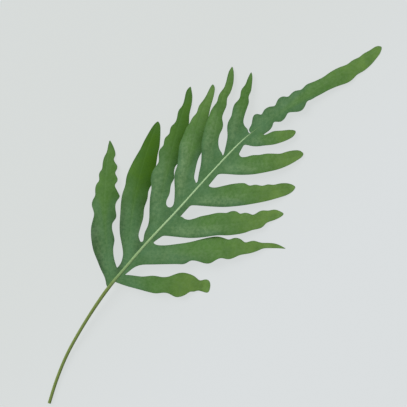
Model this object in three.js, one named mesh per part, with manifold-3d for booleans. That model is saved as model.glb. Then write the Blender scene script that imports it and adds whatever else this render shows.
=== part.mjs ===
import * as THREE from 'three';
import { mergeGeometries, mergeVertices } from 'three/addons/utils/BufferGeometryUtils.js';
import Module from 'manifold-3d';

// A cut fern frond lying on a table: one leaf, deeply cut into long finger lobes that stay
// joined by a narrow strip of blade along the midrib, with a bare stalk below them.
// Millimetres and degrees. +X runs from the cut end of the stalk to the frond's tip,
// +Y to the left of the frond seen from above, +Z up from the table. The origin is the
// centre of the frond's footprint, on the table.

const bladeThickness = 0.8;
const leastThickness = 0.5;
const columnSpacing = 10;
const lobeRows = 24;
const stripRows = 2;
const stripWaist = 0.3;
const waistPower = 4;
const fadeRows = 8;
const endLobeRows = 24;
const endFadeRows = 4;
const ribSides = 12;
const ribSteps = 44;
const ribEnd = 104;
const bladeSeat = 0.4;

// Fineness of the curves and of the search along them, and the gaps that are closed when points are joined.
const edgeDivisions = 600;
const searchGap = 1e-9;
const stationGap = 1e-6;
const pointsPerMillimetre = 1000;
const bladeWeld = 1e-3;
const solidWeld = 1e-4;

// Stalk and midrib, then the middle of the end lobe: along, across, height of the centre, radius.
// The end lobe's last stretch lies flat on the table.
const midline = [
  [-244.5, -32.8, 1.7, 1.7],
  [-222, -22.4, 2.4, 1.7],
  [-195, -12.6, 4, 1.7],
  [-155, -3.5, 7.2, 1.75],
  [-118, 1.8, 10, 1.8],
  [-90, 3, 11.5, 1.7],
  [-60, 3.9, 12.5, 1.5],
  [-15, 3.6, 12.5, 1.1],
  [40, 4.1, 11, 0.85],
  [76, 3.3, 9.5, 0.75],
  [92, 1.6, 8.6, 0.5],
  [140, -8.9, 7.6, 0.3],
  [188, -21, 4.2, 0.3],
  [228, -31.5, 0.6, 0.3],
  [244.5, -36.3, 0.2, 0.3],
];

// The bottoms of the cuts between lobes, from the stalk to the end lobe: [along, across] of each end.
const leftCuts = [
  [[-118, 4.6], [-118, 4.6]],
  [[-98, 8.6], [-92, 9.2]],
  [[-61.5, 8.9], [-61.5, 8.9]],
  [[-18, 10.3], [-18, 10.3]],
  [[19, 8.9], [19, 8.9]],
  [[57, 7.9], [57, 7.9]],
  [[92.5, 5.4], [92.5, 5.4]],
];
const rightCuts = [
  [[-109, 0], [-109, 0]],
  [[-98, -1.5], [-87, -3]],
  [[-55, -0.4], [-43, -3]],
  [[-18, -3], [-2, -2.8]],
  [[24.5, -2.8], [39.5, -2]],
  [[68, -3.7], [79, -1]],
  [[99, -8.4], [99, -8.4]],
];

// Side lobes, from the stalk up. Each has a bent axis: root, heading from +X, bend on the way to
// the tip, and length. behind and ahead are its two edges, on the stalk's side and on the tip's
// side, as [distance along the axis, distance from it]. tip is the height of its tip, crown
// how far its middle arches up, and bank how far its edge behind stands above the axis
// for each 10 mm of width. A tip below the table's surface means that its last stretch lies flat on it.
const leftLobes = [
  {
    root: [-112, 2], heading: 54, bend: -20, length: 144, tip: -1.6, crown: 4, bank: 1.2,
    behind: [[6, 5.9], [25, 10.7], [42, 13.9], [58, 13.3], [70, 9.8], [79, 12.3], [88, 8.6], [95, 9.1],
      [103, 5.2], [110, 6], [115, 3.4], [126, 2.8], [133, 0.6]],
    ahead: [[24, 5.8], [43, 8.4], [54, 6.8], [67, 11.8], [78, 10.9], [87, 15.9], [98, 10], [104, 13.1],
      [111, 9.4], [118, 11.4], [126, 6.4], [130, 8], [138, 4.6]],
  },
  {
    root: [-85, 5], heading: 42, bend: -22, length: 144, tip: -1.2, crown: 1.5, bank: 1.8,
    behind: [[0, 6.4], [7, 5.1], [20, 7.8], [34, 10.4], [50, 11.8], [66, 12.3], [74, 11.2], [82, 11.9],
      [96, 9.8], [112, 6.2], [128, 4], [138, 2]],
    ahead: [[26, 9.1], [45, 11.6], [55, 11], [66, 12.6], [73, 12], [84, 14.3], [100, 13.4], [118, 11],
      [134, 6.8], [142, 3.4]],
  },
  {
    root: [-46, 5], heading: 34, bend: -10, length: 151, tip: -1, crown: 2.5, bank: 2.2,
    behind: [[-2, 9.7], [7, 7.2], [22, 8.7], [42, 10.6], [54, 13.4], [62, 12], [69, 9.1], [78, 11.5],
      [86, 8.5], [94, 9], [99, 5.7], [105, 6.5], [112, 3.2], [124, 3.7], [131, 1.3], [146, 2]],
    ahead: [[31, 6.1], [41, 7.7], [50, 7.2], [57, 9], [68, 7], [75, 10.4], [92, 10.6], [104, 8.6],
      [112, 9.9], [122, 7.7], [134, 6.6], [146, 3]],
  },
  {
    root: [-7, 4], heading: 38, bend: -19, length: 125, tip: 1.5, crown: 2.5, bank: 2.2,
    behind: [[-1, 8.6], [5, 7.7], [22, 9.8], [30, 10.7], [38, 9.4], [58, 11.4], [72, 9.6], [85, 6.7],
      [92, 3.8], [99, 4.1], [108, 1.6], [119, 0.6]],
    ahead: [[27, 9], [46, 9.3], [58, 11], [72, 10.8], [84, 8.4], [96, 7.7], [110, 6.2], [119, 4.8]],
  },
  {
    root: [32, 5], heading: 37, bend: -14, length: 112, tip: 2, crown: 2.2, bank: 2.2,
    behind: [[0, 8.7], [9, 7.7], [30, 10], [46, 9.7], [64, 7.1], [73, 3.6], [80, 3.6], [89, 0.6],
      [97, 0.4], [106, 1]],
    ahead: [[28, 7.6], [38, 5.6], [50, 7.5], [59, 4.8], [66, 5.2], [72, 6.2], [80, 4.9], [86, 6.3],
      [94, 6.7], [102, 5.2]],
  },
  {
    root: [70, 4], heading: 34, bend: -8, length: 78, tip: 3, crown: 1.5, bank: 1.6,
    behind: [[2, 8.2], [10, 8.2], [23, 10.2], [30, 8], [38, 8.2], [49, 3.8], [57, 4.4],
      [64, 1.7], [72, 1.1]],
    ahead: [[24, 5.6], [31, 4.2], [40, 4.9], [48, 5.6], [53, 4], [59, 4.9], [67, 4]],
  },
];
const rightLobes = [
  {
    root: [-104, 2], heading: -57, bend: 4, length: 92, tip: -1.6, crown: 2.5, bank: 0.4,
    behind: [[10, 6.8], [22, 8.1], [38, 9.9], [50, 7.9], [61, 11.2], [69, 7.9], [75, 3.8],
      [80, 2.4], [87, 3.1]],
    ahead: [[14, 4.2], [24, 4.5], [35, 7], [44, 6.7], [51, 8.2], [61, 13.1], [69, 13.2], [76, 11.2],
      [82, 7.2], [87, 8.9], [91, 6.4]],
  },
  {
    root: [-70, 3], heading: -46, bend: -1, length: 146, tip: -1.4, crown: 2.5, bank: 0.8,
    behind: [[-3, 13.8], [4, 12.8], [28, 12.8], [44, 13], [50, 9.6], [57, 10.2], [67, 13.1], [76, 9.3],
      [81, 7.6], [88, 9.1], [98, 5.4], [111, 3.3], [118, 1], [124, -1], [139, -1.1]],
    ahead: [[16, 6.4], [24, 5.6], [37, 6.8], [49, 8.2], [62, 11.2], [74, 13.6], [84, 11.7], [89, 9.9],
      [96, 11.8], [102, 9.6], [105, 6.8], [114, 8.6], [121, 6.4], [134, 5.7], [140, 3.6]],
  },
  {
    root: [-36, 3], heading: -50, bend: 17, length: 122, tip: -1.4, crown: 2.5, bank: 0.8,
    behind: [[1, 8.7], [15, 9.8], [32, 11.2], [52, 9.7], [64, 10.6], [78, 10.5], [89, 8.7],
      [98, 8], [103, 4.4], [112, 3.3]],
    ahead: [[25, 7], [38, 10.1], [54, 12.3], [64, 11.3], [71, 12.5], [78, 8.6], [84, 9.1], [91, 5.5],
      [100, 8.3], [107, 6.8], [114, 6.4]],
  },
  {
    root: [4, 3], heading: -47, bend: 10, length: 106, tip: -1, crown: 1.8, bank: 0.6,
    behind: [[1, 7.9], [20, 9.6], [38, 10.9], [62, 10], [80, 8.4], [97, 5.8]],
    ahead: [[25, 8.6], [38, 10.7], [53, 11.3], [60, 7.9], [66, 8.4], [73, 6.3], [79, 7.1], [84, 5.8],
      [92, 6.2], [100, 4.8]],
  },
  {
    root: [47, 5], heading: -53, bend: 25, length: 87, tip: 1.5, crown: 1.5, bank: 0.6,
    behind: [[4, 9.2], [11, 9.1], [28, 9.8], [50, 8.6], [66, 7], [79, 3.9]],
    ahead: [[25, 7.5], [35, 9.1], [43, 8.7], [49, 9.1], [60, 6.8], [72, 6.9], [81, 5.6]],
  },
  {
    root: [89, 2], heading: -68, bend: 50, length: 49, tip: 4, crown: 1, bank: 0.4,
    behind: [[3, 9.4], [8, 8.7], [18, 6.4], [32, 4.6], [42, 3]],
    ahead: [[20, 5.1], [27, 7.2], [36, 6.2], [44, 4.4]],
  },
];

// The end lobe: its axis as above, and its two edges.
const endLobe = { root: [91, 2], heading: -12, bend: -4, length: 158 };
const endLobeLeft = [[6, 5.7], [13, 12.4], [19, 8], [28, 11.1], [36, 7.7], [44, 12.2], [51, 8], [60, 9.3],
  [67, 6.6], [74, 8.2], [83, 6.4], [100, 5.5], [111, 4.9], [121, 3], [127, 3.7], [134, 2.7],
  [146, 3], [155, 2.4]];
const endLobeRight = [[18, 8.5], [26, 3.8], [32, 8], [43, 4.5], [56, 10.5], [66, 5.5], [74, 6.8], [91, 8.3],
  [104, 11], [113, 12.4], [123, 10.5], [132, 10.9], [148, 6.7], [155, 3.4]];

// How the surface bends: along a lobe by these powers of the share of its length, and
// across it by these heights for each width unit.
const archPower = 1.5;
const fadePower = 3;
const marginDroop = 0.6;
const ruffle = 0.5;
const ruffleLength = 26;
const widthUnit = 10;

const radians = Math.PI / 180;
const route = new THREE.CatmullRomCurve3(midline.map(([x, y, z]) => new THREE.Vector3(x, y, z)));
const radii = new THREE.CatmullRomCurve3(midline.map(([x, , , radius]) => new THREE.Vector3(x, radius, 0)));

// The route's parameter, from 0 to 1, at which it is the given distance along X.
function parameterAt(x) {
  let low = 0;
  let high = 1;
  while (high - low > searchGap) {
    const middle = (low + high) / 2;
    if (route.getPoint(middle).x < x) low = middle;
    else high = middle;
  }
  return low;
}

function ribRadius(parameter) {
  return radii.getPoint(parameter).y;
}

// The blade joins the rib a little above the rib's centre.
function seatPoint(x) {
  const parameter = parameterAt(x);
  const point = route.getPoint(parameter);
  point.z += bladeSeat * ribRadius(parameter);
  return point;
}

// A lobe's axis is an arc: the point and heading at a distance along it.
function axisPoint(lobe, along, aside) {
  const start = lobe.heading * radians;
  const curl = (lobe.bend * radians) / lobe.length;
  const heading = start + curl * along;
  const x = lobe.root[0] + (Math.sin(heading) - Math.sin(start)) / curl;
  const y = lobe.root[1] - (Math.cos(heading) - Math.cos(start)) / curl;
  return new THREE.Vector3(x - Math.sin(heading) * aside, y + Math.cos(heading) * aside, 0);
}

// The reverse: how far along the axis a point lies, and how far to the left of it.
function axisPlace(lobe, point) {
  const start = lobe.heading * radians;
  const curl = (lobe.bend * radians) / lobe.length;
  const centre = new THREE.Vector2(-Math.sin(start), Math.cos(start)).divideScalar(curl);
  centre.add(new THREE.Vector2(...lobe.root));
  const out = new THREE.Vector2(point.x, point.y).sub(centre);
  const turn = Math.sign(curl);
  const heading = Math.atan2(out.x * turn, -out.y * turn);
  const along = (heading - start) / curl;
  return { along, aside: turn * (1 / Math.abs(curl) - out.length()) };
}

function smoothStep(value) {
  const clamped = Math.min(1, Math.max(0, value));
  return clamped * clamped * (3 - 2 * clamped);
}

// Height of a side lobe's surface: it arches from the midrib to its tip, banks and ruffles.
function lobeHeight(lobe, side, rootHeight, point) {
  const { along, aside } = axisPlace(lobe, point);
  const part = Math.min(1, Math.max(0, along / lobe.length));
  const behind = (side * aside) / widthUnit;
  const slope = (lobe.tip - rootHeight) * part ** archPower;
  const arch = rootHeight + slope + lobe.crown * Math.sin(Math.PI * part);
  const fade = 1 - part ** fadePower;
  const wave = ruffle * Math.sin((2 * Math.PI * along) / ruffleLength + side * behind);
  const height = arch + fade * (lobe.bank * behind + (wave - marginDroop) * behind * behind);
  return Math.max(bladeThickness / 2, height);
}

function edgeCurve(cut, points) {
  const start = new THREE.Vector3(...cut, 0);
  const curve = new THREE.CatmullRomCurve3([start, ...points], false, 'centripetal');
  curve.arcLengthDivisions = edgeDivisions;
  return curve;
}

// One grid of the upper surface, from rows of points. Left-hand rows are turned round, so
// that it faces up.
function surfaceGrid(rows, side) {
  const columns = rows[0].length - 1;
  const grid = new THREE.PlaneGeometry(1, 1, columns, rows.length - 1);
  grid.deleteAttribute('normal');
  grid.deleteAttribute('uv');
  const ordered = rows.flatMap((row) => (side > 0 ? [...row].reverse() : row));
  const rounded = (value) => Math.round(value * pointsPerMillimetre) / pointsPerMillimetre;
  const places = ordered.flatMap((point) => point.toArray().map(rounded));
  grid.setAttribute('position', new THREE.Float32BufferAttribute(places, 3));
  return grid;
}

// The places along the midrib where rows of blade start: every cut, and evenly between them.
function ribStations() {
  const cuts = [...leftCuts, ...rightCuts].flat().map(([x]) => x).sort((a, b) => a - b);
  const stations = [cuts[0]];
  for (const next of cuts.slice(1)) {
    const last = stations[stations.length - 1];
    const steps = next > last ? Math.ceil((next - last) / columnSpacing) : 0;
    for (let step = 1; step <= steps; step += 1) stations.push(last + ((next - last) * step) / steps);
  }
  return stations;
}

function stationsBetween(stations, first, last) {
  return stations.filter((x) => x >= first - stationGap && x <= last + stationGap);
}

// The narrow strip of blade that runs past the bottom of a wide cut.
function cutStrip([first, last], side, stations) {
  const places = stationsBetween(stations, first[0], last[0]);
  const starts = places.map(seatPoint);
  const rows = [];
  for (let row = 0; row <= stripRows; row += 1) {
    rows.push(starts.map((start, column) => {
      const across = column / (starts.length - 1);
      const edge = new THREE.Vector3(...first, start.z).lerp(new THREE.Vector3(...last, start.z), across);
      if (column === starts.length - 1) edge.set(...last, start.z);
      return start.clone().lerp(edge, row / stripRows);
    }));
  }
  return surfaceGrid(rows, side);
}

function sideLobe(lobe, side, cutBehind, cutAhead, stations) {
  const starts = stationsBetween(stations, cutBehind[0], cutAhead[0]).map(seatPoint);
  const rootHeight = seatPoint(lobe.root[0]).z;
  const tip = axisPoint(lobe, lobe.length, 0);
  const edges = [[cutBehind, lobe.behind, side], [cutAhead, lobe.ahead, -side]].map(([cut, places, way]) => {
    const points = places.map(([along, aside]) => axisPoint(lobe, along, way * aside));
    return edgeCurve(cut, [...points, tip]);
  });
  const columns = starts.length - 1;
  const rows = [];
  for (let row = 0; row <= stripRows + lobeRows; row += 1) {
    const outwards = Math.max(0, row - stripRows) / lobeRows;
    const ends = edges.map((edge) => edge.getPointAt(outwards));
    rows.push(starts.map((start, column) => {
      const across = column / columns;
      const place = ends[0].clone().lerp(ends[1], across);
      if (column === 0) place.copy(ends[0]);
      if (column === columns) place.copy(ends[1]);
      const waist = 1 - stripWaist * (1 - (2 * across - 1) ** waistPower);
      if (row <= stripRows) place.lerpVectors(start, place, (row / stripRows) * waist);
      const settled = smoothStep((row - stripRows) / fadeRows);
      place.z = start.z + settled * (lobeHeight(lobe, side, rootHeight, place) - start.z);
      return place;
    }));
  }
  return surfaceGrid(rows, side);
}

// Half of the end lobe, from the midline out to one edge.
function endLobeHalf(side, cut, places, stations) {
  const starts = stations.map(seatPoint);
  const tip = starts[starts.length - 1].clone().setZ(0);
  const points = places.map(([along, aside]) => axisPoint(endLobe, along, side * aside));
  const edge = edgeCurve(cut, [...points, tip]);
  const rows = starts.map((start, row) => {
    const part = row / (starts.length - 1);
    const end = edge.getPointAt(part);
    const width = Math.hypot(end.x - start.x, end.y - start.y) / widthUnit;
    const columns = [];
    for (let column = 0; column <= stripRows; column += 1) {
      const across = column / stripRows;
      const place = start.clone().lerp(end, across);
      if (column === stripRows) place.copy(end);
      place.z = start.z - smoothStep(row / endFadeRows) * marginDroop * (width * across) ** 2;
      columns.push(place);
    }
    return columns;
  });
  return surfaceGrid(rows, -side);
}

// Gives the surface its thickness: a copy above, a copy below that stays on or above the
// table, and a wall along every open edge.
function thicken(surface) {
  const place = surface.getAttribute('position');
  const count = place.count;
  const above = [];
  const below = [];
  for (let i = 0; i < count; i += 1) {
    const low = Math.max(0, place.getZ(i) - bladeThickness / 2);
    const high = Math.max(low + leastThickness, place.getZ(i) + bladeThickness / 2);
    above.push(place.getX(i), place.getY(i), high);
    below.push(place.getX(i), place.getY(i), low);
  }
  const index = surface.getIndex().array;
  const faces = [];
  const sides = new Map();
  for (let i = 0; i < index.length; i += 3) {
    const [a, b, c] = [index[i], index[i + 1], index[i + 2]];
    if (a === b || b === c || c === a) continue;
    faces.push(a, b, c, a + count, c + count, b + count);
    for (const [from, to] of [[a, b], [b, c], [c, a]]) sides.set(`${from},${to}`, [from, to]);
  }
  for (const [from, to] of sides.values()) {
    if (sides.has(`${to},${from}`)) continue;
    faces.push(to, from, from + count, to, from + count, to + count);
  }
  const solid = new THREE.BufferGeometry();
  solid.setAttribute('position', new THREE.Float32BufferAttribute([...above, ...below], 3));
  solid.setIndex(faces);
  return solid;
}

function blade() {
  const stations = ribStations();
  const grids = [];
  for (const [side, lobes, cuts] of [[1, leftLobes, leftCuts], [-1, rightLobes, rightCuts]]) {
    lobes.forEach((lobe, i) => grids.push(sideLobe(lobe, side, cuts[i][1], cuts[i + 1][0], stations)));
    const wideCuts = cuts.filter(([first, last]) => last[0] > first[0]);
    wideCuts.forEach((cut) => grids.push(cutStrip(cut, side, stations)));
  }
  const lastLeft = leftCuts[leftCuts.length - 1][1];
  const lastRight = rightCuts[rightCuts.length - 1][1];
  const end = midline[midline.length - 1][0];
  const onwards = [];
  for (let row = 0; row <= endLobeRows; row += 1) {
    onwards.push(lastRight[0] + ((end - lastRight[0]) * row) / endLobeRows);
  }
  const between = stationsBetween(stations, lastLeft[0], lastRight[0]).slice(0, -1);
  grids.push(endLobeHalf(1, lastLeft, endLobeLeft, [...between, ...onwards]));
  grids.push(endLobeHalf(-1, lastRight, endLobeRight, onwards));
  return thicken(mergeVertices(mergeGeometries(grids), bladeWeld));
}

// The stalk and midrib: a round rod that thins towards the end lobe, cut flat at its lower end.
function rib() {
  const rod = new THREE.CylinderGeometry(1, 1, 1, ribSides, ribSteps, false);
  rod.deleteAttribute('normal');
  rod.deleteAttribute('uv');
  const place = rod.getAttribute('position');
  const up = new THREE.Vector3(0, 0, 1);
  for (let i = 0; i < place.count; i += 1) {
    const x = midline[0][0] + (place.getY(i) + 0.5) * (ribEnd - midline[0][0]);
    const parameter = parameterAt(x);
    const centre = route.getPoint(parameter);
    const right = new THREE.Vector3().crossVectors(route.getTangent(parameter), up).normalize();
    const radius = ribRadius(parameter);
    centre.addScaledVector(right, radius * place.getX(i));
    centre.z += radius * place.getZ(i);
    place.setXYZ(i, centre.x, centre.y, Math.max(0, centre.z));
  }
  return rod;
}

const wasm = await Module();
wasm.setup();

function solidOf(geometry) {
  const merged = mergeVertices(geometry, solidWeld);
  const vertProperties = Float32Array.from(merged.getAttribute('position').array);
  const triVerts = Uint32Array.from(merged.getIndex().array);
  return new wasm.Manifold(new wasm.Mesh({ numProp: 3, vertProperties, triVerts }));
}

function geometryOf(solid) {
  const { vertProperties, triVerts } = solid.getMesh();
  const geometry = new THREE.BufferGeometry();
  geometry.setAttribute('position', new THREE.BufferAttribute(Float32Array.from(vertProperties), 3));
  geometry.setIndex(new THREE.BufferAttribute(Uint32Array.from(triVerts), 1));
  geometry.computeVertexNormals();
  return geometry;
}

const frond = geometryOf(solidOf(blade()).add(solidOf(rib())));
const leafGreen = new THREE.MeshStandardMaterial({ color: 0x55803f, roughness: 0.55, metalness: 0 });
const mesh = new THREE.Mesh(frond, leafGreen);
mesh.name = 'fern_frond';

const group = new THREE.Group();
group.add(mesh);

export default group;
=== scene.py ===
import math
import bmesh
import bpy
from mathutils import Matrix, Vector
from mathutils.kdtree import KDTree


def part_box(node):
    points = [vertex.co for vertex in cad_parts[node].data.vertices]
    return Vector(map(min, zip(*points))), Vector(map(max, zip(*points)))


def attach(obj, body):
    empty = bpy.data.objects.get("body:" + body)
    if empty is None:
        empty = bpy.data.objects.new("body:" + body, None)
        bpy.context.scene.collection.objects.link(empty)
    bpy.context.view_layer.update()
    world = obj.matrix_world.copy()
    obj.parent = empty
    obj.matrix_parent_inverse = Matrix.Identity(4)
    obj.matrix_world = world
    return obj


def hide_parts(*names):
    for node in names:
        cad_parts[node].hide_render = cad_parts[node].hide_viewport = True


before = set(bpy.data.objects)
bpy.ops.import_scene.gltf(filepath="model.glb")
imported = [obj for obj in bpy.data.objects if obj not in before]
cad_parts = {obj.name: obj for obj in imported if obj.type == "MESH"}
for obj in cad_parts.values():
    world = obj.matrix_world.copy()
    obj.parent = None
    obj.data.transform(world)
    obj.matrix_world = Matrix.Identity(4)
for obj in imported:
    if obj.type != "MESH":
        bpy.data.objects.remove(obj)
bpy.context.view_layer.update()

mm = 0.001
low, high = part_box("fern_frond")
print("frame loaded, frond", [round(v * 1000, 1) for v in high - low], "mm")

view = {
    "aim": (0.0081, -0.0111, 0.009),    # metres, the point the camera looks straight down on
    "distance": 1.526,
    "lens": 135,
    "sensor": 36,
    "turn": -47.4,                      # degrees about the vertical
}
camera = bpy.data.objects.new("camera", bpy.data.cameras.new("camera"))
bpy.context.collection.objects.link(camera)
bpy.context.scene.camera = camera
camera.data.lens = view["lens"]
camera.data.sensor_width = view["sensor"]
camera.location = Vector(view["aim"]) + Vector((0, 0, view["distance"]))
camera.rotation_euler = (0, 0, math.radians(view["turn"]))
print("camera placed")

# the frond in millimetres: +X from the cut stalk to the tip, +Y to its left, table at z = 0
frond = {
    "lowestCorner": (-245.21, -102.9),      # where these lengths put the frond's lowest corner
    "leafThickness": 0.42,
    "behindGrowth": 0.42,                   # how far a lobe's edge on the stalk's side lies past its points
    "aheadGrowth": 0.05,                    # and its edge on the tip's side
    "tipGrowth": 0.8,
    "columnSpacing": 1.15,
    "rowSpacing": 1.2,
    "stripRows": 7,                         # in the strip along the rib that joins the lobes
    "stripWaist": 0.22,
    "waistPower": 4,
    "seatShare": 0.4,                       # how far above the rib's middle the blade joins it, in radii
    "marginPasses": 3,
    "marginPull": 0.5,
    "relaxPasses": 4,
    "heightPasses": 3,
    "smoothing": 0.5,
    "widthUnit": 10,                        # the width that bank and droop are given for
    "archPower": 1.5,
    "fadePower": 3,
    "settling": 3,                          # how soon a lobe leaves the strip's height for its own
    "ruffle": 0.35,
    "ruffleLength": 23,
    "grooveDepth": 0.07,                    # the fold along each lobe's midvein
    "grooveWidth": 1.6,
    "veinRelief": 0.045,
    "veinFade": 4,
    "veinSpacing": 4.6,
    "veinSlant": 0.7,
    "patchWeld": 0.02,                      # points of the grids that are closer than this become one
    "joinWeld": 0.004,                      # the same once the stalk is joined on
    "creaseAngle": 50,                      # degrees at which an edge is drawn sharp
}

# stalk, midrib, then the middle of the end lobe: along, across, height, radius
midline = [
    (-244.5, -32.8, 1.7, 1.62), (-222, -22.4, 2.4, 1.62), (-195, -12.6, 4, 1.62),
    (-155, -3.5, 7.2, 1.65), (-118, 1.8, 10, 1.8), (-90, 3, 11.5, 1.7),
    (-60, 3.9, 12.5, 1.5), (-15, 3.6, 12.5, 1.1), (40, 4.1, 11, 0.95),
    (76, 3.3, 9.5, 0.85), (92, 1.6, 8.6, 0.55), (140, -8.9, 7.6, 0.3),
    (188, -21, 4.2, 0.3), (228, -31.5, 0.6, 0.3), (246, -36.6, 0.2, 0.3),
]

# both ends of each cut's bottom, from the stalk to the end lobe
leftCuts = [
    ((-118, 4.6), (-118, 4.6)), ((-98, 8.6), (-92, 9.2)), ((-63.2, 9.5), (-61, 7.1)),
    ((-18.8, 12.3), (-16.2, 9.5)), ((17.4, 9.2), (19.2, 7.2)), ((55.6, 7.7), (56.6, 6.5)),
    ((91.1, 5.2), (92.1, 4)),
]
rightCuts = [
    ((-109, 0), (-109, 0)), ((-98, -1.5), (-87, -3)), ((-55, -0.4), (-43, -3)),
    ((-18, -3), (-2, -2.8)), ((24.5, -2.8), (39.5, -2)), ((68, -3.7), (79, -1)),
    ((99, -8.4), (99, -8.4)),
]

# each lobe: a bent axis (root, heading, bend, length), the height of its tip, how far it arches, and
# how it banks and droops across its width; yellow, deep, haze and shade shift its colour, where deep
# is in part painted shade on one half, haze is a painted sheen, in part a waxy bloom, and shade is
# painted shade near the base; its two edges are points (along the axis, away from it), the one behind
# on the stalk's side
leftLobes = [
    dict(root=(-112, 2), heading=54, bend=-20, length=144, tip=-1.6, crown=4, bank=1.2, droop=0.8,
         yellow=-0.1, deep=0.35, haze=0.2, shade=1.2,
         behind=[(6, 5.9), (16, 8.6), (25, 10.7), (34, 13.1), (42, 13.9), (51, 14.1), (58, 13.3),
                 (64, 11.4), (70, 9.8), (74, 10.8), (79, 12.3), (84, 11), (88, 8.6), (91, 8.9),
                 (94, 9.1), (99, 8.2), (103, 5.2), (107, 6.1), (111, 5.9), (114, 3.4), (119, 3.5),
                 (126, 2.8), (132, 0.6), (138, 0.3)],
         ahead=[(24, 5.8), (34, 6.1), (43, 8.4), (50, 7.5), (54, 6.8), (60, 7.4), (65, 11.2),
                (68, 11.7), (73, 11), (79, 10.9), (84, 13.1), (87, 15.5), (90, 14), (94, 12),
                (99, 9.6), (102, 11.8), (105, 12.6), (108, 11.1), (112, 9.1), (115, 10.9), (119, 11),
                (122, 8.3), (126, 6.4), (128, 7.6), (130, 8), (136, 5.9), (140, 3.5)]),
    dict(root=(-85, 5), heading=42, bend=-22, length=144, tip=-1.2, crown=1.5, bank=1.8, droop=1.2,
         yellow=-0.1, deep=1, haze=0.1, shade=1.0,
         behind=[(0, 6.4), (7, 5.1), (17, 6.9), (26, 9.3), (34, 10.4), (47, 11.3), (57, 12.2),
                 (66, 12.3), (74, 11.2), (82, 11.9), (92, 10.7), (103, 8.4), (112, 6.2), (120, 5.3),
                 (129, 3.9), (139, 2)],
         ahead=[(22, 10.4), (26, 8.8), (34, 9.8), (45, 11.6), (55, 11), (66, 12.6), (73, 12),
                (84, 14.3), (94, 14), (102, 13), (112, 11.6), (120, 10.8), (126, 9.4), (136, 6.2),
                (142, 3.4)]),
    dict(root=(-46, 5), heading=34, bend=-10, length=151, tip=-1, crown=2.5, bank=2.2, droop=1.5,
         yellow=-0.1, deep=0.75, haze=0.5, shade=0.6,
         behind=[(-2, 9.7), (5, 7.6), (11, 7.2), (22, 8.7), (34, 10.3), (43, 10.6), (50, 13),
                 (57, 13.3), (63, 11.8), (69, 9.1), (73, 9.9), (79, 11.5), (83, 10.8), (86, 8.5),
                 (91, 9.2), (95, 8.8), (99, 5.7), (103, 6.4), (107, 6.2), (111, 3.5), (116, 2.9),
                 (124, 3.7), (130, 1.4), (136, 1.3), (146, 2.1)],
         ahead=[(30, 6.2), (34, 6.1), (41, 7.7), (50, 7.2), (57, 9), (63, 7.4), (69, 7.4), (75, 10.4),
                (84, 11), (93, 10.4), (105, 8.5), (110, 9.7), (115, 9.6), (122, 7.7), (127, 7.1),
                (134, 6.6), (143, 4.5), (148, 1.9)]),
    dict(root=(-7, 4), heading=38, bend=-19, length=125, tip=1.5, crown=2.5, bank=2.2, droop=1.5,
         yellow=0.1, deep=0.1, haze=0.85, shade=0.3,
         behind=[(-0.4, 8), (4, 7.7), (14, 8.4), (22, 9.8), (30, 10.7), (37, 9.4), (43, 9.9),
                 (51, 10.8), (58, 11.4), (66, 10.4), (71, 9.8), (77, 8.9), (80, 7.4), (85, 6.7),
                 (89, 5.4), (92, 3.8), (99, 4.1), (103, 3.2), (106, 2.1), (112, 0.9), (120, 0.5)],
         ahead=[(24, 11.3), (27, 9), (36, 8.7), (48, 9.3), (58, 11.6), (72, 11.2), (82, 8.9),
                (94, 7.9), (102, 6.9), (108, 6.4), (116, 5.5), (123, 3.4)]),
    dict(root=(32, 5), heading=37, bend=-14, length=112, tip=2, crown=2.2, bank=2.2, droop=1,
         yellow=0.1, deep=0.15, haze=0.65, shade=0.1,
         behind=[(0, 8.7), (9, 7.7), (19, 8.2), (30, 10), (38, 9.9), (47, 9.6), (53, 8.7), (58, 8),
                 (64, 7.1), (69, 5.4), (73, 3.5), (80, 3.6), (85, 2.2), (89, 0.5), (97, 0.4),
                 (106, 1)],
         ahead=[(22, 12.2), (28, 7.8), (34, 5.9), (42, 5.8), (48, 7.4), (53, 7.2), (59, 4.8),
                (65, 5.1), (72, 6.2), (80, 4.9), (85, 6.3), (94, 6.7), (101, 5.5), (108, 3)]),
    dict(root=(70, 4), heading=34, bend=-8, length=78, tip=3, crown=1.5, bank=1.6, droop=0.8,
         yellow=-0.2, deep=0.35, haze=0.5, shade=0.35,
         behind=[(2, 8.2), (11, 8.2), (17, 9.8), (23, 10.2), (27, 9.2), (30, 8), (37, 8.2), (43, 7.5),
                 (47, 4.8), (50, 3.7), (58, 4.4), (64, 1.7), (71, 1.1)],
         ahead=[(20, 10.8), (23, 6.7), (27, 4.4), (34, 4.3), (40, 4.9), (48, 5.6), (53, 4), (59, 4.9),
                (67, 4), (74, 2.5)]),
]
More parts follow.
